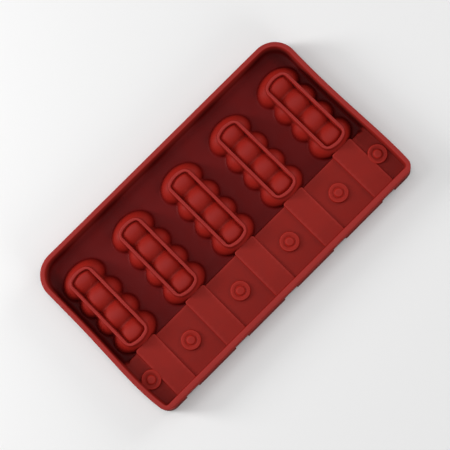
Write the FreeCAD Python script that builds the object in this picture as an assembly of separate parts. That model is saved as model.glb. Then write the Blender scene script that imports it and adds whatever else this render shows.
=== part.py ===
import FreeCAD, Part
import math
import os

# A one-piece silicone candy mould for five bars on sticks. It lies on its flat
# fill face, as it does when the bars are pushed out, so the outside of the
# cavities, the rim it stands on in use and the stick ends face up.
# X runs across the five bars, Y from the stick side to the far side, Z up.

# Driving sizes, in millimetres
bar_count = 5
bar_pitch = 34.0             # from one bar to the next, along X
segment_count = 4            # rounded segments in one bar
segment_pitch = 12.04        # from one segment to the next, along Y
segment_overlap = 4.76       # how far neighbouring segments run into each other
segment_half_width = 12.0    # outside of a segment, along X
segment_sink = 0.4           # a segment's long axis below the top of the sheet
segment_rise = 9.1           # a segment's top above its long axis
far_margin = 20.2            # furthest segment's middle to the outside of the rim
stick_margin = 39.88         # nearest segment's middle to the outside of the rim
side_margin = 17.4           # outer bar's middle to the outside of the rim, far side
side_flare = 0.6             # how much wider each side is at the stick side
side_bow = 0.45              # how far each short side wall curves inwards
draft = 1.1                  # how far the outer wall leans out down to the fill face
deck = 2.0                   # thickness of the flat sheet
wall = 1.6                   # thickness of the moulded walls
soft_edge = 0.5              # rounding of the top edges
valley_radius = 1.0          # rounding between segments and at their foot
wall_foot_radius = 1.4       # rounding where the wall meets the sheet
rim_width = 2.5
stick_rim_width = 2.75       # the rim along the stick side
far_corner_radius = 12.5
stick_corner_radius = 6.0
ring_stand = 0.3             # how far rings and rim stand above the segments
ring_half_width = 7.2        # oval stand on top of each bar
ring_far_reach = 4.95        # beyond the furthest segment's middle
ring_stick_reach = 5.53      # beyond the nearest segment's middle
ring_corner_radius = 5.0
stick_groove_width = 8.7
stick_groove_height = 4.65
block_side_wall = 2.15       # casing beside a stick groove
block_step = 0.85            # casing above the raised band
boss_step = 0.9              # boss above the raised band
boss_radius = 4.9
boss_setback = 14.18         # boss middle to the band's far edge
end_boss_offset = 10.2       # outer boss to the nearest bar, along X
button_radius = 2.6          # round button in the middle of a boss
ridge_width = 1.4            # ridge round the outside of a boss
boss_groove_depth = 0.8
boss_slope = 0.3             # lean of a boss's small walls

# Followers of the driving sizes
segment_radius = (segment_pitch + segment_overlap) / 2
segment_centre_z = deck - segment_sink
inner_half_width = segment_half_width - wall
inner_radius = segment_radius - wall
inner_rise = segment_rise - wall
height = segment_centre_z + segment_rise + ring_stand
rim_depth = far_margin + (segment_count - 1) * segment_pitch + stick_margin
far_y = rim_depth / 2
stick_y = -rim_depth / 2
segments_y = [far_y - far_margin - segment_pitch * i for i in range(segment_count)]
first_segment_y = segments_y[0]
last_segment_y = segments_y[-1]
bars_x = [bar_pitch * (i - (bar_count - 1) / 2) for i in range(bar_count)]
half_width_far = bars_x[-1] + side_margin
half_width_stick = half_width_far + side_flare
inner_far_radius = far_corner_radius - rim_width
inner_stick_radius = wall
bar_foot = segment_half_width + valley_radius + deck / 2
band_far_y = last_segment_y - segment_radius
block_half_width = stick_groove_width / 2 + block_side_wall
block_height = stick_groove_height + deck
band_height = block_height - block_step
band_ceiling = band_height - wall
boss_height = band_height + boss_step
boss_row_y = band_far_y - boss_setback
bosses_x = [x + bar_pitch / 2 for x in bars_x[:-1]]
bosses_x = [bars_x[0] - end_boss_offset] + bosses_x + [bars_x[-1] + end_boss_offset]
socket_radius = boss_radius - wall
socket_ceiling = boss_height - wall
below_face = -wall           # cuts in the fill face start this far under it


def point(x, y, z=0.0):
    return FreeCAD.Vector(x, y, z)


def box(x_low, x_high, y_low, y_high, z_low, z_high):
    return Part.makeBox(x_high - x_low, y_high - y_low, z_high - z_low, point(x_low, y_low, z_low))


def upright_edges(solid):
    """Edges that run straight up between the two ends of an extruded outline."""
    found = []
    for edge in solid.Edges:
        run = edge.Vertexes[-1].Point.sub(edge.Vertexes[0].Point)
        if run.z * run.z > run.x * run.x + run.y * run.y:
            found.append(edge)
    return found


def edges_at(solid, z):
    return [e for e in solid.Edges if abs(e.BoundBox.ZMin - z) < 0.01 and abs(e.BoundBox.ZMax - z) < 0.01]


def outline(inset, inset_stick, far_radius, stick_radius, z):
    """The mould's plan outline at height z, moved inwards, with its corners rounded."""
    y_far = far_y - inset
    y_stick = stick_y + inset_stick
    x_far = half_width_far - inset
    x_stick = half_width_stick - inset
    x_middle = (x_far + x_stick) / 2 - side_bow
    corners = [point(-x_far, y_far, z), point(x_far, y_far, z),
               point(x_stick, y_stick, z), point(-x_stick, y_stick, z)]
    sides = [Part.makeLine(corners[0], corners[1]),
             Part.Arc(corners[1], point(x_middle, 0, z), corners[2]).toShape(),
             Part.makeLine(corners[2], corners[3]),
             Part.Arc(corners[3], point(-x_middle, 0, z), corners[0]).toShape()]
    block = Part.Face(Part.Wire(sides)).extrude(point(0, 0, height))
    block = block.makeFillet(far_radius, [e for e in upright_edges(block) if e.BoundBox.YMin > 0])
    at_sticks = [e for e in upright_edges(block) if e.BoundBox.YMax < y_stick + 0.01]
    block = block.makeFillet(stick_radius, at_sticks)
    foot = [f for f in block.Faces if abs(f.BoundBox.ZMax - z) < 0.01]
    return foot[0].OuterWire


def rounded_bar(half_x, y_low, y_high, radius, z_low, z_high):
    solid = box(-half_x, half_x, y_low, y_high, z_low, z_high)
    return solid.makeFillet(radius, upright_edges(solid))


def segment(y, half_width, radius, rise, foot_z):
    """A dome wider along X than along Y, on a straight foot."""
    dome = Part.makeSphere(radius, point(0, 0), point(0, 0, 1), 0, 90, 360)
    drop = (segment_centre_z - foot_z) * radius / rise
    foot = Part.makeCylinder(radius, drop, point(0, 0, -drop))
    stretch = FreeCAD.Matrix()
    stretch.scale(half_width / radius, 1, rise / radius)
    solid = dome.fuse(foot).transformGeometry(stretch)
    solid.translate(point(0, y, segment_centre_z))
    return solid


def segment_row(half_width, radius, rise, foot_z):
    solids = [segment(y, half_width, radius, rise, foot_z) for y in segments_y]
    return solids[0].multiFuse(solids[1:])


def bar_outside():
    """A bar's segments on their patch of the sheet, with soft valleys and a soft foot."""
    sheet = box(-bar_foot, bar_foot, last_segment_y - bar_foot, first_segment_y + bar_foot, 0, deck)
    solid = segment_row(segment_half_width, segment_radius, segment_rise, deck / 2).fuse(sheet)
    valleys = [e for e in solid.Edges if e.BoundBox.YLength < 0.05 and e.BoundBox.ZLength > deck]
    foot = [e for e in edges_at(solid, deck) if e.Curve.TypeId != "Part::GeomLine"]
    return solid.makeFillet(valley_radius, valleys + foot)


def bar_ring():
    """The oval wall on top of a bar: its top is level with the rim."""
    y_low = last_segment_y - ring_stick_reach
    y_high = first_segment_y + ring_far_reach
    outside = rounded_bar(ring_half_width, y_low, y_high, ring_corner_radius, deck, height)
    inside = rounded_bar(ring_half_width - wall, y_low + wall, y_high - wall,
                         ring_corner_radius - wall, deck, height)
    ring = outside.cut(inside)
    return ring.makeFillet(soft_edge, edges_at(ring, height))


def bar_cavity():
    """The room for the candy, open at the fill face."""
    return segment_row(inner_half_width, inner_radius, inner_rise, below_face)


def stick_groove():
    """From the cavity out through the notch in the stick side's wall."""
    half = stick_groove_width / 2
    return box(-half, half, stick_y - 2 * draft, last_segment_y, below_face, stick_groove_height)


def boss(x):
    """A round boss with a button inside a ring groove on its top."""
    groove_floor = boss_height - boss_groove_depth
    shoulder = boss_height - boss_slope
    ridge_inner = boss_radius - ridge_width
    profile = Part.makePolygon([
        point(0, 0, deck), point(0, 0, boss_height),
        point(button_radius - boss_slope, 0, boss_height), point(button_radius, 0, shoulder),
        point(button_radius + boss_slope, 0, groove_floor), point(ridge_inner, 0, groove_floor),
        point(ridge_inner + boss_slope, 0, shoulder), point(ridge_inner + 2 * boss_slope, 0, boss_height),
        point(boss_radius - boss_slope, 0, boss_height), point(boss_radius, 0, shoulder),
        point(boss_radius, 0, deck), point(0, 0, deck)])
    solid = Part.Face(profile).revolve(point(0, 0), point(0, 0, 1), 360)
    solid.translate(point(x, boss_row_y, 0))
    return solid


def band():
    """The raised band along the stick side, up to the side walls."""
    half = half_width_far - rim_width / 2
    solid = box(-half, half, stick_y + rim_width / 2, band_far_y, deck / 2, band_height)
    far_edge = [e for e in edges_at(solid, band_height) if e.BoundBox.YMin > band_far_y - 0.01]
    return solid.makeFillet(soft_edge, far_edge)


def stick_block():
    """The raised casing over a stick groove."""
    solid = box(-block_half_width, block_half_width, stick_y + rim_width / 2, last_segment_y,
                deck / 2, block_height)
    long_edges = [e for e in edges_at(solid, block_height) if e.BoundBox.YLength > e.BoundBox.XLength]
    return solid.makeFillet(soft_edge, long_edges)


def skirt():
    """The flat sheet and the leaning wall round it, with soft edges."""
    foot = outline(-draft, -draft, far_corner_radius + draft, stick_corner_radius + draft, 0)
    top = outline(0, 0, far_corner_radius, stick_corner_radius, height)
    outside = Part.makeLoft([foot, top], True, True)
    floor = outline(rim_width, stick_rim_width, inner_far_radius, inner_stick_radius, deck)
    inside = Part.Face(floor).extrude(point(0, 0, height))
    inside = inside.makeFillet(wall_foot_radius, edges_at(inside, deck))
    solid = outside.cut(inside)
    return solid.makeFillet(soft_edge, edges_at(solid, height))


def band_hollow():
    """The hollow under the raised band, behind the stick side's wall."""
    half = half_width_far - rim_width - wall
    return box(-half, half, stick_y + stick_rim_width, band_far_y - wall, below_face, band_ceiling)


def copies(solid, places):
    made = []
    for x in places:
        copy = solid.copy()
        copy.translate(point(x, 0, 0))
        made.append(copy)
    return made


def mould():
    solid = skirt().fuse(band())
    solid = solid.multiFuse([boss(x) for x in bosses_x])
    solid = solid.multiFuse(copies(stick_block(), bars_x))
    solid = solid.multiFuse(copies(bar_outside(), bars_x))
    solid = solid.multiFuse(copies(bar_ring(), bars_x))
    socket = Part.makeCylinder(socket_radius, socket_ceiling - below_face, point(0, boss_row_y, below_face))
    solid = solid.cut(band_hollow())
    solid = solid.cut(copies(bar_cavity(), bars_x))
    solid = solid.cut(copies(stick_groove(), bars_x))
    return solid.cut(copies(socket, bosses_x))


os.makedirs("parts", exist_ok=True)
body = mould()
size = body.optimalBoundingBox()
print("valid", body.isValid(), "solids", len(body.Solids), "faces", len(body.Faces))
print("volume in cubic centimetres", round(body.Volume / 1000, 2))
print("size", round(size.XLength, 2), round(size.YLength, 2), round(size.ZLength, 2))
body.exportStep("parts/mould.step")
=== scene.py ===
import math

import bpy
import numpy as np
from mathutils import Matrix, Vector
from mathutils.geometry import delaunay_2d_cdt


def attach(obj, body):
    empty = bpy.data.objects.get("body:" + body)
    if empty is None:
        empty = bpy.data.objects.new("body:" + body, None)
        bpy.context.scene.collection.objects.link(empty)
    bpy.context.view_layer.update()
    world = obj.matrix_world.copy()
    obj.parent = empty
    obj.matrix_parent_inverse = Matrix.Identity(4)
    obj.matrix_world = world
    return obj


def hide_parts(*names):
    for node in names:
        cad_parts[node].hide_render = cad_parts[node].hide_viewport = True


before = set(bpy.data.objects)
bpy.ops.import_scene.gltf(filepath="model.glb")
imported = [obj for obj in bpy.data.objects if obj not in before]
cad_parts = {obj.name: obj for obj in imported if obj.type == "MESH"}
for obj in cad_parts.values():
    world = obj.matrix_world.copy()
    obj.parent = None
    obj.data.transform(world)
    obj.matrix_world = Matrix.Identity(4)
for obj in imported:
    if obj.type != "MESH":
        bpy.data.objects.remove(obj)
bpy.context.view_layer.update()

# The candy mould, one piece of brick red silicone pressed hot between two tool halves.
# It lies on its flat fill face, outside up. Its skin is an upper and a lower sheet, each
# a height over the plan, joined round the foot. Sizes are millimetres up to the mesh.
MM = 0.001
HEIGHT = 11.0
DECK = 2.0
WALL = 1.6
BAR_PITCH = 34.0
BARS_X = BAR_PITCH * np.arange(-2, 3)


def hollow(outwards, radius):
    """The hollow curve at a foot, from its full radius down to nothing."""
    left = np.clip(radius - outwards, 0.0, radius)
    curve = radius - np.sqrt(np.maximum(radius * radius - left * left, 0.0))
    return np.where(outwards < radius, curve, 0.0)


def wall_height(offset, top, base, edge, lean, foot):
    """A wall across its edge: a rounded top, a leaning face and a hollow foot.

    The offset runs outwards from the line of the edge.
    """
    foot = np.minimum(foot, np.maximum(top - edge - base, 0.0) + 1e-6)
    over = np.clip(edge + offset, 0.0, edge)
    rounding = top - edge + np.sqrt(np.maximum(edge * edge - over ** 2, 0.0))
    share = np.clip(offset / lean, 0.0, 1.0)
    face = (1 - share) * (top - edge) + share * (base + foot)
    low = base + hollow(np.maximum(offset - lean, 0.0), foot)
    return np.where(offset < 0.0, rounding, np.where(offset < lean, face, low))


def raised(base, offset, top, edge, lean, foot):
    return np.maximum(base, wall_height(offset, top, base, edge, lean, foot))


def from_nearest(x, places):
    offsets = x[..., None] - places
    nearest = np.argmin(np.abs(offsets), axis=-1)
    return np.take_along_axis(offsets, nearest[..., None], axis=-1)[..., 0]


def round_corner(dx, dy, radius):
    """Distance outwards from two sides and the round corner between them."""
    outside = np.hypot(np.maximum(dx, 0), np.maximum(dy, 0))
    return outside + np.minimum(np.maximum(dx, dy), 0) - radius


def smooth_step(value, start, end):
    t = np.clip((value - start) / (end - start), 0.0, 1.0)
    return t * t * (3 - 2 * t)


# The skirt, a wall all round with a flat rim, moulded with the rest. It leans for
# release, its corners are large on the far side and small on the stick side, and its
# short sides are limp. The pairs of radii are for the far and the stick side.
BACK_Y = 48.1
FRONT_Y = -48.1
HALF_LENGTH = 86.93
DRAFT = 1.1
RIM_WIDTH = 2.5
FRONT_RIM_WIDTH = 2.75
OUTER_EDGE = 0.6
INNER_EDGE = 0.5
INNER_LEAN = 0.3
BACK_FOOT = 2.0
BAND_FOOT = 0.6
LEFT_OUTER = (13.3, 5.3)
RIGHT_OUTER = (12.6, 4.9)
LEFT_INNER = (10.8, 1.6)
RIGHT_INNER = (10.1, 1.6)


def side_x(y, side):
    """The limp short sides, which bow in past the middle and out towards the sticks."""
    t = np.asarray(y) / BACK_Y
    right = 85.45 + t * (-1.14 + t * (1.45 + t * (1.57 - 0.88 * t)))
    left = 85.02 + t * (-1.06 + t * (1.42 + t * (1.80 - 2.43 * t)))
    return np.where(np.asarray(side) > 0, right, left)


def inset(x, y, start, start_front, right_radii, left_radii):
    """How far a point lies inside the outline that is itself moved in by start."""
    ax = np.abs(x)
    back = BACK_Y - start
    front = FRONT_Y + start_front
    inside = np.minimum(side_x(y, x) - start - ax, np.minimum(back - y, y - front))
    for side, radii in ((1, right_radii), (-1, left_radii)):
        far = (radii[0], back - radii[0], y > back - radii[0])
        near = (radii[1], front + radii[1], y < front + radii[1])
        for radius, centre_y, beyond in (far, near):
            centre_x = side_x(centre_y, side) - start - radius
            corner = beyond & (x * side > centre_x)
            inside = np.where(corner, radius - np.hypot(ax - centre_x, y - centre_y), inside)
    return inside


def inside_rim(x, y):
    return inset(x, y, RIM_WIDTH, FRONT_RIM_WIDTH, RIGHT_INNER, LEFT_INNER)


def inside_outline(x, y):
    return inset(x, y, 0.0, 0.0, RIGHT_OUTER, LEFT_OUTER)


# Five bars of four rounded segments, the outsides of the candy cavities, which run into
# one another. They are domes of the sheet itself, with soft valleys and a curved foot.
SEGMENT_PITCH = 12.04
SEGMENTS_Y = 27.9 - SEGMENT_PITCH * np.arange(4)
SEGMENT_HALF_WIDTH = 12.25
SEGMENT_RADIUS = 8.4
END_STRETCH = 0.5
SEGMENT_CENTRE_Z = 1.6
SEGMENT_RISE = 9.1
SEGMENT_FOOT = 1.0
FOOT_OVERLAP = 0.025
VALLEY = 0.16


def smooth_min(a, b, k):
    h = np.maximum(k - np.abs(a - b), 0.0) / k
    return np.minimum(a, b) - 0.25 * k * h * h


def bar_roundness(x, y, half_width, radius):
    """1 on the outline of a bar's segments, 0 in a segment's middle; also its slope."""
    dx = from_nearest(x, BARS_X) / half_width
    radius = np.where((y > SEGMENTS_Y[0]) | (y < SEGMENTS_Y[-1]), radius + END_STRETCH, radius)
    parts = [np.hypot(dx, (y - segment_y) / radius) for segment_y in SEGMENTS_Y]
    joined = parts[0]
    for part in parts[1:]:
        joined = smooth_min(joined, part, VALLEY)
    dy = from_nearest(y, SEGMENTS_Y) / radius
    slope = np.hypot(dx / half_width, dy / radius) / np.maximum(np.hypot(dx, dy), 1e-6)
    return joined, slope


def bars_height(x, y):
    """The sheet with the domes of the bars on it."""
    roundness, slope = bar_roundness(x, y, SEGMENT_HALF_WIDTH, SEGMENT_RADIUS)
    dome = SEGMENT_CENTRE_Z + SEGMENT_RISE * np.sqrt(np.maximum(1 - roundness * roundness, 0.0))
    foot_start = math.sqrt(1 - ((DECK + SEGMENT_FOOT - SEGMENT_CENTRE_Z) / SEGMENT_RISE) ** 2)
    outwards = (roundness - foot_start) / slope
    foot = DECK + hollow(np.maximum(outwards, 0.0) + FOOT_OVERLAP, 1.25 * SEGMENT_FOOT)
    return np.where(roundness < foot_start, dome, foot)


# A flat-topped oblong ring on each bar, level with the rim, on which the mould stands when
# it is turned over and filled. Its ends bow, and the domes dip beside it, most inside it.
RING_HALF_WIDTH = 7.25
RING_LENGTH = 46.65
RING_CENTRE_Y = 9.22
RING_RADIUS = 2.8
RING_INNER_RADIUS = 1.2
RING_END_BOW = 11.5
RING_SIDE = {"edge": 0.45, "lean": 0.1, "foot": 0.2}
INNER_MOAT = 0.65
OUTER_MOAT = 0.1
MOAT_WIDTH = 0.95
MOAT_START = 0.1


def ring_offset(x, y, grow, radius):
    """Distance outwards from a ring's outline with its bowed ends, made larger by grow."""
    dx = np.abs(from_nearest(x, BARS_X))
    along = np.abs(y - RING_CENTRE_Y) + dx * dx / (2 * RING_END_BOW)
    half_x = RING_HALF_WIDTH + grow - radius
    half_y = RING_LENGTH / 2 + grow - radius
    return round_corner(dx - half_x, along - half_y, radius)


def with_rings(surface, x, y):
    outside = ring_offset(x, y, 0.0, RING_RADIUS)
    inside = -ring_offset(x, y, -WALL, RING_INNER_RADIUS)
    offset = np.maximum(outside, inside)
    depth = np.where(inside > outside, INNER_MOAT, OUTER_MOAT)
    surface = surface - depth * np.exp(-(np.maximum(offset - MOAT_START, 0.0) / MOAT_WIDTH) ** 2)
    return raised(surface, offset, HEIGHT, **RING_SIDE)


# The raised band along the stick side, with a block over each bar's stick groove and a
# round boss with a button in each bay. All are moulded with the sheet.
GROOVE_HALF_WIDTH = 4.35
GROOVE_HEIGHT = 4.65
BAND_BACK_Y = -16.7
BAND_HEIGHT = 5.8
BAND_SIDE = {"edge": 0.5, "lean": 0.2, "foot": 0.8}
BLOCK_HALF_WIDTH = 6.4
BLOCK_HEIGHT = 6.65
BLOCK_END_Y = -15.6
BLOCK_CORNER = 1.2
BLOCK_SIDE = {"edge": 0.4, "lean": 0.08, "foot": 0.3}
BOSSES_X = np.array([-78.2, -51.0, -17.0, 17.0, 51.0, 78.2])
BOSS_Y = -30.8
BOSS_RADIUS = 4.9
BOSS_HEIGHT = 6.85
BOSS_SIDE = {"edge": 0.45, "lean": 0.1, "foot": 0.3}
BOSS_SURROUND = 0.5
BUTTON_RADIUS = 2.4
BUTTON_RISE = 0.4
BUTTON_SLOPE = 0.8
BUTTON_GROOVE_DEPTH = 0.4
BUTTON_GROOVE_WIDTH = 0.4
BUTTON_GROOVE_GAP = 0.3


def block_offset(x, y):
    dx = np.abs(from_nearest(x, BARS_X))
    half_x = BLOCK_HALF_WIDTH - BLOCK_CORNER
    end_y = BLOCK_END_Y - BLOCK_CORNER
    return round_corner(dx - half_x, y - end_y, BLOCK_CORNER)


def from_boss(x, y):
    return np.hypot(from_nearest(x, BOSSES_X), y - BOSS_Y)


def boss_height(x, y, base):
    """A boss with the button in its middle and the groove round the button."""
    r = from_boss(x, y)
    crest = raised(base, r - BOSS_RADIUS, BOSS_HEIGHT, **BOSS_SIDE)
    from_groove = (r - BUTTON_RADIUS - BUTTON_GROOVE_GAP) / BUTTON_GROOVE_WIDTH
    groove = BUTTON_GROOVE_DEPTH * np.exp(-from_groove ** 2)
    button = BUTTON_RISE * (1 - smooth_step(r, BUTTON_RADIUS - BUTTON_SLOPE, BUTTON_RADIUS))
    return crest - groove + button


# The whole upper side, from the sheet up to the rim. How far each spot stands out from
# what lies round it is worked out too, for a painted highlight on what stands out and
# painted shade down in crevices.
REACH = 0.6
DEEPEST = -3.0
HIGHEST = 0.6
CREVICE_SOFTNESS = 0.8
EDGE_SOFTNESS = 0.3


def upper_inside(x, y):
    surface = bars_height(x, y)
    surface = raised(surface, y - BAND_BACK_Y, BAND_HEIGHT, **BAND_SIDE)
    surface = raised(surface, block_offset(x, y), BLOCK_HEIGHT, **BLOCK_SIDE)
    near_boss = from_boss(x, y) < BOSS_RADIUS + BOSS_SURROUND
    surface = np.where(near_boss, boss_height(x, y, surface), surface)
    return with_rings(surface, x, y)


def upper_height(x, y):
    surface = upper_inside(x, y)
    foot = np.where(y > BAND_BACK_Y + INNER_LEAN, BACK_FOOT, BAND_FOOT)
    surface = raised(surface, inside_rim(x, y), HEIGHT, INNER_EDGE, INNER_LEAN, foot)
    return np.minimum(surface, wall_height(-inside_outline(x, y), HEIGHT, 0.0, OUTER_EDGE, DRAFT, 0.0))


def standing_out(x, y):
    """1 where a point stands above all that lies just round it, -1 down in a crevice."""
    here = upper_height(x, y)
    turns = np.linspace(0.0, 2 * math.pi, 8, endpoint=False)
    rises = [here - upper_height(x + REACH * math.cos(a), y + REACH * math.sin(a)) for a in turns]
    mean = np.mean(np.clip(rises, DEEPEST, HIGHEST), axis=0)
    return np.tanh(mean / np.where(mean < 0.0, CREVICE_SOFTNESS, EDGE_SOFTNESS))


# The fill face below, which the photo hides: a cavity under each segment, a groove for
# each stick, the recess under the raised band and a socket under each boss.
RECESS_HALF_WIDTH = 81.3
RECESS_LEAN = 0.2
CAVITY_LEAN = 0.2
GROOVE_LEAN = 0.1
SOCKET_LEAN = 0.15
SOCKET_RADIUS = BOSS_RADIUS - WALL


def depth_share(offset, lean):
    """1 inside a pocket and 0 outside it, with its leaning side between."""
    return np.clip(-offset / lean, 0.0, 1.0)


def lower_height(x, y):
    roundness, slope = bar_roundness(x, y, SEGMENT_HALF_WIDTH - WALL, SEGMENT_RADIUS - WALL)
    dome = np.sqrt(np.maximum(1 - roundness * roundness, 0.0))
    ceiling = SEGMENT_CENTRE_Z + (SEGMENT_RISE - WALL) * dome
    mouth = SEGMENT_CENTRE_Z * np.clip(1 - (roundness - 1) / slope / CAVITY_LEAN, 0.0, 1.0)
    surface = np.where(roundness < 1, ceiling, mouth)
    beside = np.abs(from_nearest(x, BARS_X)) - GROOVE_HALF_WIDTH
    groove = np.maximum(beside, y - SEGMENTS_Y[-1])
    surface = np.maximum(surface, GROOVE_HEIGHT * depth_share(groove, GROOVE_LEAN))
    across = np.maximum(y - (BAND_BACK_Y - WALL), (FRONT_Y + FRONT_RIM_WIDTH) - y)
    recess = np.maximum(np.abs(x) - RECESS_HALF_WIDTH, across)
    surface = np.maximum(surface, (BAND_HEIGHT - WALL) * depth_share(recess, RECESS_LEAN))
    socket = depth_share(from_boss(x, y) - SOCKET_RADIUS, SOCKET_LEAN)
    return np.maximum(surface, (BOSS_HEIGHT - WALL) * socket)


# The plan of the skin: points, and the lines that must be edges of the mesh. Beside each
# edge of a form the lines lie at the offsets below, close together where it turns sharply.
OUTLINE_SPACING = 1.6
FRONT_SPACING = 1.5
NOTCH_SPACING = 1.2
BAND_SPACING = 1.0
BAR_SPACING = 0.5
RING_SPACING = 0.6
BLOCK_SPACING = 0.9
RECESS_SPACING = 2.0
DECK_SPACING = 2.0
DOME_SPACING = 0.62
FILL_FACE_SPACING = 3.0
CAVITY_SPACING = 1.0
BOSS_SIDES = 40
SOCKET_SIDES = 32
FRONT_FOOT_X = 79.0
FINEST_TURN = 0.06
COARSEST_TURN = 0.35
SKIRT_LINES = (0.0, 0.06, 0.2, 0.38, OUTER_EDGE)
UPPER_FOOT_LINES = (0.08, 0.4)
LOWER_FOOT_LINE = 0.2
POCKET_LINES = (-0.5, -0.3, -0.15, -0.04, 0.0, 0.15, 0.3, 0.4, 0.6, 0.9, 1.4, 2.3)
BAND_LINES = (-0.5, -0.3, -0.12, 0.0, 0.2, 0.25, 0.4, 0.65, 1.0)
RING_OUTER_LINES = (0.5, 0.3, 0.15, 0.1, 0.0, -0.07, -0.22, -0.45)
RING_INNER_LINES = (0.45, 0.22, 0.07, 0.0, -0.1, -0.15, -0.3, -0.5, -0.8)
BLOCK_LINES = (-0.4, -0.25, -0.1, 0.0, 0.08, 0.14, 0.25, 0.38)
BUTTON_LINES = (0.9, 1.6, 1.85, 2.05, 2.25, 2.45, 2.6, 2.9, 3.3, 3.7)
BOSS_LINES = (4.1, 4.4, 4.55, 4.7, 4.82, BOSS_RADIUS, 5.0, 5.1, 5.3)
DOME_LEVELS = (0.55, 0.75, 0.88, 0.94, 0.97, 0.986, 1.0, 1.015, 1.04, 1.075, 1.12)
CAVITY_LEVELS = (0.35, 0.6, 0.8, 0.9, 0.96, 0.99, 1.0, 1.03)


class Plan:
    def __init__(self):
        self.points = []
        self.edges = []

    def chain(self, points, closed=False):
        first = len(self.points)
        self.points += [tuple(p) for p in points]
        last = len(self.points) - 1
        self.edges += [(i, i + 1) for i in range(first, last)]
        if closed:
            self.edges.append((last, first))

    def scatter(self, x_ends, y_ends, spacing, keep):
        """Staggered rows of points over an area, where keep says so."""
        xs, ys = np.meshgrid(np.arange(*x_ends, spacing), np.arange(*y_ends, spacing * 0.866))
        xs = xs + spacing / 2 * (np.arange(xs.shape[0]) % 2)[:, None]
        chosen = keep(xs, ys)
        self.points += list(zip(xs[chosen].tolist(), ys[chosen].tolist()))


def steps(start, end, spacing):
    count = max(1, math.ceil(abs(end - start) / spacing))
    return np.linspace(start, end, count + 1)


def arc(cx, cy, radius, start, end, spacing):
    turn = max(min(spacing / max(radius, 0.01), COARSEST_TURN), FINEST_TURN)
    angles = steps(math.radians(start), math.radians(end), turn)
    return [(cx + radius * math.cos(a), cy + radius * math.sin(a)) for a in angles]


def circle(cx, cy, radius, count):
    turns = np.linspace(0, 2 * math.pi, count, endpoint=False)
    return [(cx + radius * math.cos(a), cy + radius * math.sin(a)) for a in turns]


def fill_in(points, spacing):
    """Extra points on the long straight stretches of a closed line."""
    filled = []
    for a, b in zip(points, points[1:] + points[:1]):
        dx = b[0] - a[0]
        dy = b[1] - a[1]
        length = math.hypot(dx, dy)
        if length < 1e-6:
            continue
        count = max(1, round(length / spacing))
        filled += [(a[0] + dx * i / count, a[1] + dy * i / count) for i in range(count)]
    return filled


def half_outline(side, start, start_front, radii, inwards):
    """One side of the outline moved in by start and then by inwards, front to back."""
    top_y = BACK_Y - start - radii[0]
    front = FRONT_Y + start_front
    low_y = front + radii[1]
    points = []
    if inwards < radii[1]:
        low_x = side_x(low_y, side) - start - radii[1]
        points += arc(low_x, low_y, radii[1] - inwards, -90, 0, OUTLINE_SPACING)
    else:
        low_y = front + inwards
        points += [(side_x(low_y, side) - start - inwards, low_y)]
    between_corners = steps(low_y, top_y, OUTLINE_SPACING)[1:-1]
    points += [(side_x(y, side) - start - inwards, y) for y in between_corners]
    top_x = side_x(top_y, side) - start - radii[0]
    points += arc(top_x, top_y, radii[0] - inwards, 0, 90, OUTLINE_SPACING)
    return [(side * min(x, HALF_LENGTH), y) for x, y in points]


def open_outline(start, start_front, right_radii, left_radii, inwards):
    """Round the outline from the front's right end, over the back, to its left end."""
    right = half_outline(1, start, start_front, right_radii, inwards)
    left = half_outline(-1, start, start_front, left_radii, inwards)[::-1]
    across = [(x, right[-1][1]) for x in steps(right[-1][0], left[0][0], OUTLINE_SPACING)[1:-1]]
    return right + across + left


def closed_outline(start, start_front, right_radii, left_radii, inwards):
    line = open_outline(start, start_front, right_radii, left_radii, inwards)
    return line + [(x, line[0][1]) for x in steps(line[-1][0], line[0][0], OUTLINE_SPACING)[1:-1]]


def edge_of_plan():
    """The foot all round, with the notches, and the height that both sheets have there."""
    around = open_outline(0.0, 0.0, RIGHT_OUTER, LEFT_OUTER, -DRAFT)
    line = [(x, y, 0.0) for x, y in around]
    front = FRONT_Y - DRAFT
    notch_y = FRONT_Y - DRAFT * (1 - GROOVE_HEIGHT / (HEIGHT - OUTER_EDGE))
    start = around[-1][0]
    for bar_x in BARS_X:
        near = bar_x - GROOVE_HALF_WIDTH
        far = bar_x + GROOVE_HALF_WIDTH
        line += [(x, front, 0.0) for x in steps(start, near, FRONT_SPACING)[1:]]
        line += [(near, notch_y, 0.0)]
        across = steps(near + GROOVE_LEAN, far - GROOVE_LEAN, NOTCH_SPACING)
        line += [(x, notch_y, GROOVE_HEIGHT) for x in across]
        line += [(far, notch_y, 0.0), (far, front, 0.0)]
        start = far
    line += [(x, front, 0.0) for x in steps(start, around[0][0], FRONT_SPACING)[1:-1]]
    return line


def foot_lines(inwards):
    """A line round each stretch of the front wall between two notches, inside its edge."""
    notch_sides = [x + side * GROOVE_HALF_WIDTH for x in BARS_X for side in (-1, 1)]
    ends = [-FRONT_FOOT_X] + notch_sides + [FRONT_FOOT_X]
    low = FRONT_Y - DRAFT + inwards
    high = FRONT_Y - 0.1
    for left, right in zip(ends[0::2], ends[1::2]):
        yield fill_in([(left + inwards, low), (right - inwards, low), (right - inwards, high),
                       (left + inwards, high)], FRONT_SPACING)


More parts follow.
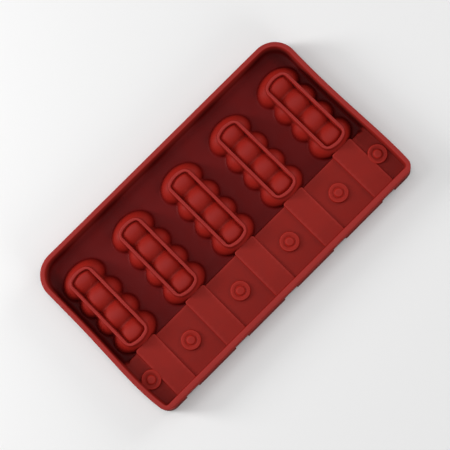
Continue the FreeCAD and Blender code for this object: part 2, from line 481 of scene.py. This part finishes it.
def bar_contour(bar_x, half_width, radius, level):
    """The closed line round a bar where its roundness has one value."""
    def across(y):
        """The half width at y, by halving between the middle and well outside."""
        low = np.zeros_like(y)
        high = np.full_like(y, half_width * 1.4)
        for _ in range(40):
            middle = (low + high) / 2
            inside = bar_roundness(bar_x + middle, y, half_width, radius)[0] < level
            low = np.where(inside, middle, low)
            high = np.where(inside, high, middle)
        return low

    ys = steps(SEGMENTS_Y[-1], SEGMENTS_Y[0], BAR_SPACING)
    right = list(zip(across(ys), ys))
    left = [(-x, y) for x, y in reversed(right)]
    turn = steps(0.0, math.pi, 0.07)[1:-1]
    reach = (radius + END_STRETCH) * level
    far_end = [(half_width * level * math.cos(a), SEGMENTS_Y[0] + reach * math.sin(a)) for a in turn]
    near_end = [(-x, SEGMENTS_Y[-1] + SEGMENTS_Y[0] - y) for x, y in far_end]
    return [(bar_x + x, y) for x, y in right + far_end + left + near_end]


def ring_outline(bar_x, grow, radius):
    half_x = RING_HALF_WIDTH + grow - radius
    half_y = RING_LENGTH / 2 + grow - radius
    end = arc(half_x, half_y, radius, 0, 90, RING_SPACING)
    end += [(x, half_y + radius) for x in steps(half_x, -half_x, RING_SPACING)[1:-1]]
    end += arc(-half_x, half_y, radius, 90, 180, RING_SPACING)
    end = [(x, y - x * x / (2 * RING_END_BOW)) for x, y in end]
    other_end = [(-x, -y) for x, y in end]
    return fill_in([(bar_x + x, RING_CENTRE_Y + y) for x, y in end + other_end], RING_SPACING)


def block_line(bar_x, grow):
    """The open line round a block: up one side, across its end and down the other."""
    half_x = BLOCK_HALF_WIDTH - BLOCK_CORNER
    end_y = BLOCK_END_Y - BLOCK_CORNER
    radius = BLOCK_CORNER + grow
    start_y = FRONT_Y + FRONT_RIM_WIDTH - 0.2
    side = [(half_x + radius, y) for y in steps(start_y, end_y, BLOCK_SPACING)[:-1]]
    right = side + arc(half_x, end_y, radius, 0, 90, 0.4)
    across = [(x, end_y + radius) for x in steps(half_x, -half_x, BLOCK_SPACING)[1:-1]]
    left = [(-x, y) for x, y in reversed(right)]
    return [(bar_x + x, y) for x, y in right + across + left]


def on_deck(x, y):
    beside_bars = bar_roundness(x, y, SEGMENT_HALF_WIDTH, SEGMENT_RADIUS)[0] > 1.15
    return (inside_rim(x, y) > 2.6) & beside_bars


def on_domes(x, y):
    return bar_roundness(x, y, SEGMENT_HALF_WIDTH, SEGMENT_RADIUS)[0] < 0.98


def under_all(x, y):
    return inside_outline(x, y) > 0.2


def in_cavities(x, y):
    return bar_roundness(x, y, SEGMENT_HALF_WIDTH - WALL, SEGMENT_RADIUS - WALL)[0] < 0.95


def upper_plan(edge):
    plan = Plan()
    plan.chain([point[:2] for point in edge], closed=True)
    for inwards in SKIRT_LINES:
        plan.chain(closed_outline(0.0, 0.0, RIGHT_OUTER, LEFT_OUTER, inwards), closed=True)
    for inwards in UPPER_FOOT_LINES:
        for line in foot_lines(inwards):
            plan.chain(line, closed=True)
    for inwards in POCKET_LINES:
        line = closed_outline(RIM_WIDTH, FRONT_RIM_WIDTH, RIGHT_INNER, LEFT_INNER, inwards)
        plan.chain(line, closed=True)
    half_x = RECESS_HALF_WIDTH - 2.0
    for offset in BAND_LINES:
        plan.chain([(x, BAND_BACK_Y + offset) for x in steps(-half_x, half_x, BAND_SPACING)])
    for bar_x in BARS_X:
        for level in DOME_LEVELS:
            plan.chain(bar_contour(bar_x, SEGMENT_HALF_WIDTH, SEGMENT_RADIUS, level), closed=True)
        for grow in RING_OUTER_LINES:
            plan.chain(ring_outline(bar_x, grow, RING_RADIUS + grow), closed=True)
        for grow in RING_INNER_LINES:
            plan.chain(ring_outline(bar_x, grow - WALL, RING_INNER_RADIUS + grow), closed=True)
        for grow in BLOCK_LINES:
            plan.chain(block_line(bar_x, grow))
    for boss_x in BOSSES_X:
        for radius in BUTTON_LINES + BOSS_LINES:
            plan.chain(circle(boss_x, BOSS_Y, radius, BOSS_SIDES), closed=True)
    plan.scatter((-83, 83), (-46, 46), DECK_SPACING, on_deck)
    plan.scatter((-83, 83), (-18, 38), DOME_SPACING, on_domes)
    return plan


def lower_plan(edge):
    plan = Plan()
    plan.chain([point[:2] for point in edge], closed=True)
    for line in foot_lines(LOWER_FOOT_LINE):
        plan.chain(line, closed=True)
    low = FRONT_Y + FRONT_RIM_WIDTH
    high = BAND_BACK_Y - WALL
    groove_ys = steps(FRONT_Y + 0.3, SEGMENTS_Y[-1], FRONT_SPACING)
    for inwards in (0.0, RECESS_LEAN):
        half_x = RECESS_HALF_WIDTH - inwards
        corners = [(-half_x, low + inwards), (half_x, low + inwards),
                   (half_x, high - inwards), (-half_x, high - inwards)]
        plan.chain(fill_in(corners, RECESS_SPACING), closed=True)
    for bar_x in BARS_X:
        for inwards in (0.0, GROOVE_LEAN):
            for side in (-1, 1):
                x = bar_x + side * (GROOVE_HALF_WIDTH - inwards)
                plan.chain([(x, y) for y in groove_ys])
        for level in CAVITY_LEVELS:
            line = bar_contour(bar_x, SEGMENT_HALF_WIDTH - WALL, SEGMENT_RADIUS - WALL, level)
            plan.chain(line, closed=True)
    for boss_x in BOSSES_X:
        for radius in (SOCKET_RADIUS - SOCKET_LEAN, SOCKET_RADIUS):
            plan.chain(circle(boss_x, BOSS_Y, radius, SOCKET_SIDES), closed=True)
    plan.scatter((-85, 85), (-47, 48), FILL_FACE_SPACING, under_all)
    plan.scatter((-83, 83), (-16, 36), CAVITY_SPACING, in_cavities)
    return plan


# The skin itself, both sheets in one mesh. Two values of painted light ride on its points:
# painted shade by height, lighter up high and on the bosses and darker low down and deep in
# the cavities, and a painted highlight on edges with painted shade in crevices, in the end
# bays and beside the end bars.
END_BAY_X = 75.0
END_SHADE_START_X = 76.0
END_SHADE_END_X = 80.0
BOSS_PAINTED_LIGHT = 0.35
BAY_PAINTED_SHADE = 0.8
BOSS_PAINTED_SHADE = 0.7
FILL_FACE_PAINTED_LIGHT = 0.85
CAVITY_PAINTED_SHADE = 0.6
BAND_MARGIN = 0.5
DECK_MARGIN = 0.6
BOSS_RIM = 0.9


def sheet(plan, height, edge):
    """Triangles over the plan, with heights; also which points lie on the plan's edge."""
    found = delaunay_2d_cdt([Vector(p) for p in plan.points], plan.edges, [], 1, 1e-6)
    xy = np.array([tuple(v) for v in found[0]])
    z = height(xy[:, 0], xy[:, 1])
    on_edge = {}
    for i, sources in enumerate(found[3]):
        first = min(sources, default=len(edge))
        if first < len(edge):
            on_edge[first] = i
            z[i] = edge[first][2]
    return np.column_stack([xy, z]), found[2], on_edge


def shades(x, y, z):
    """Painted shade by height, and painted edge highlight and crevice shade, at points on the upper side.
    """
    r = from_boss(x, y)
    on_boss = r < BOSS_RADIUS
    # Painted shade by height: the low floor darkest, rim and ring tops lightest, bosses lighter still.
    painted_height_shade = (z - DECK) / (HEIGHT - DECK) + BOSS_PAINTED_LIGHT * on_boss
    # Painted shade on the end bays' floor, on the end bosses round their buttons and on the deck beside
    # the end bars.
    end_bay = np.abs(x) > END_BAY_X
    bay_floor = end_bay & (z < BAND_HEIGHT + BAND_MARGIN) & ~on_boss
    boss_rest = end_bay & (r < BOSS_RADIUS - BOSS_RIM) & (r > BUTTON_RADIUS)
    behind_band = (z < DECK + DECK_MARGIN) & (y > BAND_BACK_Y)
    painted_end_shade = smooth_step(np.abs(x), END_SHADE_START_X, END_SHADE_END_X) * behind_band
    # Painted highlight on edges that stand out, painted shade in crevices and in the end bays.
    painted_edge_light_and_shade = standing_out(x, y) - BAY_PAINTED_SHADE * bay_floor - BOSS_PAINTED_SHADE * boss_rest
    return painted_height_shade, painted_edge_light_and_shade - BAY_PAINTED_SHADE * painted_end_shade


def mould_mesh():
    edge = edge_of_plan()
    top, top_faces, top_edge = sheet(upper_plan(edge), upper_height, edge)
    low, low_faces, low_edge = sheet(lower_plan(edge), lower_height, edge)
    joined = {low_edge[place]: top_edge[place] for place in top_edge}
    points = [tuple(p) for p in top]
    painted_height_shade, painted_edge_light_and_shade = [list(values) for values in shades(*top.T)]
    number = {}
    for i, p in enumerate(low):
        if i in joined:
            number[i] = joined[i]
        else:
            number[i] = len(points)
            points.append(tuple(p))
            # Painted shade on the fill face, darker the deeper into a cavity.
            painted_height_shade.append(FILL_FACE_PAINTED_LIGHT - CAVITY_PAINTED_SHADE * p[2] / HEIGHT)
            painted_edge_light_and_shade.append(0.0)
    faces = [tuple(f) for f in top_faces] + [tuple(number[i] for i in reversed(f)) for f in low_faces]
    mesh = bpy.data.meshes.new("mould_skin")
    mesh.from_pydata([(x * MM, y * MM, z * MM) for x, y, z in points], [], faces)
    mesh.validate()
    mesh.shade_smooth()
    mesh.attributes.new("painted_height_shade", "FLOAT", "POINT").data.foreach_set("value", painted_height_shade)
    mesh.attributes.new("painted_edge_light_and_shade", "FLOAT", "POINT").data.foreach_set("value", painted_edge_light_and_shade)
    return mesh


mould = bpy.data.objects.new("mould_skin", mould_mesh())
bpy.context.scene.collection.objects.link(mould)
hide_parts("mould")
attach(mould, "root")

# Matte brick red silicone with painted light: painted shade from deep maroon low down and in
# the recesses to paler red high up, dust with a painted sheen on faces that look up, a painted
# highlight on edges, a painted reflection on steep walls, random tone and a fine grain.
# Pale mix colour for dust and for the painted sheen, highlights and reflection.
DUST_AND_SHEEN = (0.72, 0.66, 0.62, 1.0)
# Ramp over the painted shade by height: deep maroon low down, paler red high up.
PAINTED_SHADE_REDS = ((0.0, (0.138, 0.005, 0.005)), (0.42, (0.218, 0.009, 0.0055)), (0.52, (0.245, 0.0105, 0.0065)),
        (0.9, (0.272, 0.0085, 0.004)), (1.0, (0.267, 0.0135, 0.0105)))
SPOT_SCALE = 190.0
CLOUD_SCALE = 34.0
GRAIN_SCALE = 1700.0
GRAIN_DEPTH = 0.03
NOISE_RANGE = (0.3, 0.7)
SPOT_SHIFT = (-0.035, 0.035)
CLOUD_VALUE = (0.96, 1.04)
PAINTED_LIGHT_AND_SHADE_VALUE = (0.575, 1.25)
UPWARD_DUST_AND_SHEEN = 0.011
EDGE_PAINTED_HIGHLIGHT = 0.018
WALL_PAINTED_REFLECTION = 0.014
ROUGHNESS = (0.54, 0.64)
SPECULAR = (0.01, 0.1)
silicone = bpy.data.materials.new("silicone")
silicone.use_nodes = True
shader = silicone.node_tree.nodes["Principled BSDF"]
links = silicone.node_tree.links


def node(kind, inputs, **settings):
    """A node with its settings made and its named inputs set or linked."""
    made = silicone.node_tree.nodes.new(kind)
    for name, value in settings.items():
        setattr(made, name, value)
    for name, value in inputs.items():
        if isinstance(value, bpy.types.NodeSocket):
            links.new(value, made.inputs[name])
        else:
            made.inputs[name].default_value = value
    return made


def between(value, low, high, to_low, to_high):
    inputs = {"Value": value, "From Min": low, "From Max": high, "To Min": to_low, "To Max": to_high}
    return node("ShaderNodeMapRange", inputs).outputs["Result"]


def math_of(operation, first, second):
    return node("ShaderNodeMath", {0: first, 1: second}, operation=operation).outputs[0]


def noise(scale, detail):
    inputs = {"Vector": coordinates.outputs["Object"], "Scale": scale, "Detail": detail}
    return node("ShaderNodeTexNoise", inputs).outputs["Fac"]


coordinates = node("ShaderNodeTexCoord", {})
spots = noise(SPOT_SCALE, 4.0)
clouds = noise(CLOUD_SCALE, 2.0)
grain = noise(GRAIN_SCALE, 2.0)
painted_height_shade = node("ShaderNodeAttribute", {}, attribute_name="painted_height_shade").outputs["Fac"]
painted_edge_light_and_shade = node("ShaderNodeAttribute", {}, attribute_name="painted_edge_light_and_shade").outputs["Fac"]
facing = node("ShaderNodeSeparateXYZ", {"Vector": coordinates.outputs["Normal"]}).outputs["Z"]

shifted = math_of("ADD", painted_height_shade, between(spots, *NOISE_RANGE, *SPOT_SHIFT))
ramp = node("ShaderNodeValToRGB", {"Fac": shifted})
ramp.color_ramp.elements.remove(ramp.color_ramp.elements[1])
for place, colour in PAINTED_SHADE_REDS:
    stop = ramp.color_ramp.elements[0] if place == 0.0 else ramp.color_ramp.elements.new(place)
    stop.color = (*colour, 1.0)

# Dust with a painted sheen on upward faces, a painted highlight on edges and a painted reflection on steep
# walls.
upward_dust_and_sheen = math_of("MULTIPLY", between(facing, 0.75, 1.0, 0.0, UPWARD_DUST_AND_SHEEN), painted_height_shade)
edge_painted_highlight = between(painted_edge_light_and_shade, 0.2, 1.0, 0.0, EDGE_PAINTED_HIGHLIGHT)
wall_painted_reflection = between(facing, 0.3, 0.1, 0.0, WALL_PAINTED_REFLECTION)
dust_and_painted_light = math_of("ADD", math_of("ADD", upward_dust_and_sheen, edge_painted_highlight), wall_painted_reflection)
dust_and_sheen_colour = node("ShaderNodeMix", {0: dust_and_painted_light, 6: ramp.outputs["Color"], 7: DUST_AND_SHEEN}, data_type="RGBA").outputs[2]
# Random tone times the painted edge highlight and crevice shade.
shading = math_of("MULTIPLY", between(clouds, *NOISE_RANGE, *CLOUD_VALUE),
                  between(painted_edge_light_and_shade, -1.6, 0.8, *PAINTED_LIGHT_AND_SHADE_VALUE))
tone_and_painted_shade = node("ShaderNodeHueSaturation", {"Value": shading, "Color": dust_and_sheen_colour})
bump = node("ShaderNodeBump", {"Strength": 0.3, "Distance": GRAIN_DEPTH * MM, "Height": grain})
links.new(tone_and_painted_shade.outputs["Color"], shader.inputs["Base Color"])
links.new(between(spots, *NOISE_RANGE, *ROUGHNESS), shader.inputs["Roughness"])
links.new(bump.outputs["Normal"], shader.inputs["Normal"])
links.new(between(facing, 0.2, 0.9, *SPECULAR), shader.inputs["Specular IOR Level"])
mould.data.materials.append(silicone)

# A sheet of matte white paper, cut square, that the mould lies on. It is a hair below
# the fill face, so that the two never share a plane.
PAPER_HALF = 0.6
PAPER_Z = -0.05 * MM
PAPER_WHITE = (0.86, 0.86, 0.86, 1)
corners = ((-1, -1), (1, -1), (1, 1), (-1, 1))
floor_mesh = bpy.data.meshes.new("floor")
floor_mesh.from_pydata([(PAPER_HALF * x, PAPER_HALF * y, PAPER_Z) for x, y in corners], [], [(0, 1, 2, 3)])
floor = bpy.data.objects.new("floor", floor_mesh)
bpy.context.scene.collection.objects.link(floor)
paper = bpy.data.materials.new("paper")
paper.use_nodes = True
paper_inputs = paper.node_tree.nodes["Principled BSDF"].inputs
paper_inputs["Base Color"].default_value = PAPER_WHITE
paper_inputs["Roughness"].default_value = 0.9
paper_inputs["Specular IOR Level"].default_value = 0.0
floor.data.materials.append(paper)

# Soft studio light: a dim white room, brighter where it is seen past the paper's edge, and
# round lamps aimed at the mould, the strongest low from the far left. Metres and watts.
ROOM_LIGHT = 0.2
ROOM_SEEN = 0.8
LAMPS = (("key", (-0.534, 0.53, 0.274), 0.25, 3.85),
         ("key_high", (-0.422, 0.419, 0.535), 0.42, 1.45),
         ("right", (0.752, -0.001, 0.274), 0.42, 2.35),
         ("front", (0.002, -0.752, 0.274), 0.42, 1.82),
         ("left", (-0.001, 0.338, 0.725), 0.42, 0.64),
         ("above", (0.0, 0.0, 1.0), 0.6, 1.76))
world = bpy.data.worlds.new("studio")
bpy.context.scene.world = world
world.use_nodes = True
room = world.node_tree.nodes["Background"]
room.inputs["Color"].default_value = (1, 1, 1, 1)
seen = world.node_tree.nodes.new("ShaderNodeLightPath").outputs["Is Camera Ray"]
strength = world.node_tree.nodes.new("ShaderNodeMapRange")
strength.inputs["To Min"].default_value = ROOM_LIGHT
strength.inputs["To Max"].default_value = ROOM_SEEN
world.node_tree.links.new(seen, strength.inputs["Value"])
world.node_tree.links.new(strength.outputs["Result"], room.inputs["Strength"])
for name, place, size, watts in LAMPS:
    light = bpy.data.lights.new(name, "AREA")
    light.shape = "DISK"
    light.size = size
    light.energy = watts
    lamp = bpy.data.objects.new(name, light)
    lamp.location = place
    lamp.rotation_euler = Vector(place).to_track_quat("Z", "Y").to_euler()
    bpy.context.scene.collection.objects.link(lamp)

# The camera looks almost straight down from the stick side, turned so that the bars run
# up and to the left, as in the photo.
camera_data = bpy.data.cameras.new("camera")
camera_data.lens = 85.0
camera_data.sensor_width = 36.0
camera = bpy.data.objects.new("camera", camera_data)
camera.location = (-16.676 * MM, -64.904 * MM, 525.458 * MM)
camera.rotation_euler = (0.1079, 0.0612, -0.7816)
bpy.context.scene.collection.objects.link(camera)
bpy.context.scene.camera = camera

bpy.context.scene.view_settings.view_transform = "Standard"
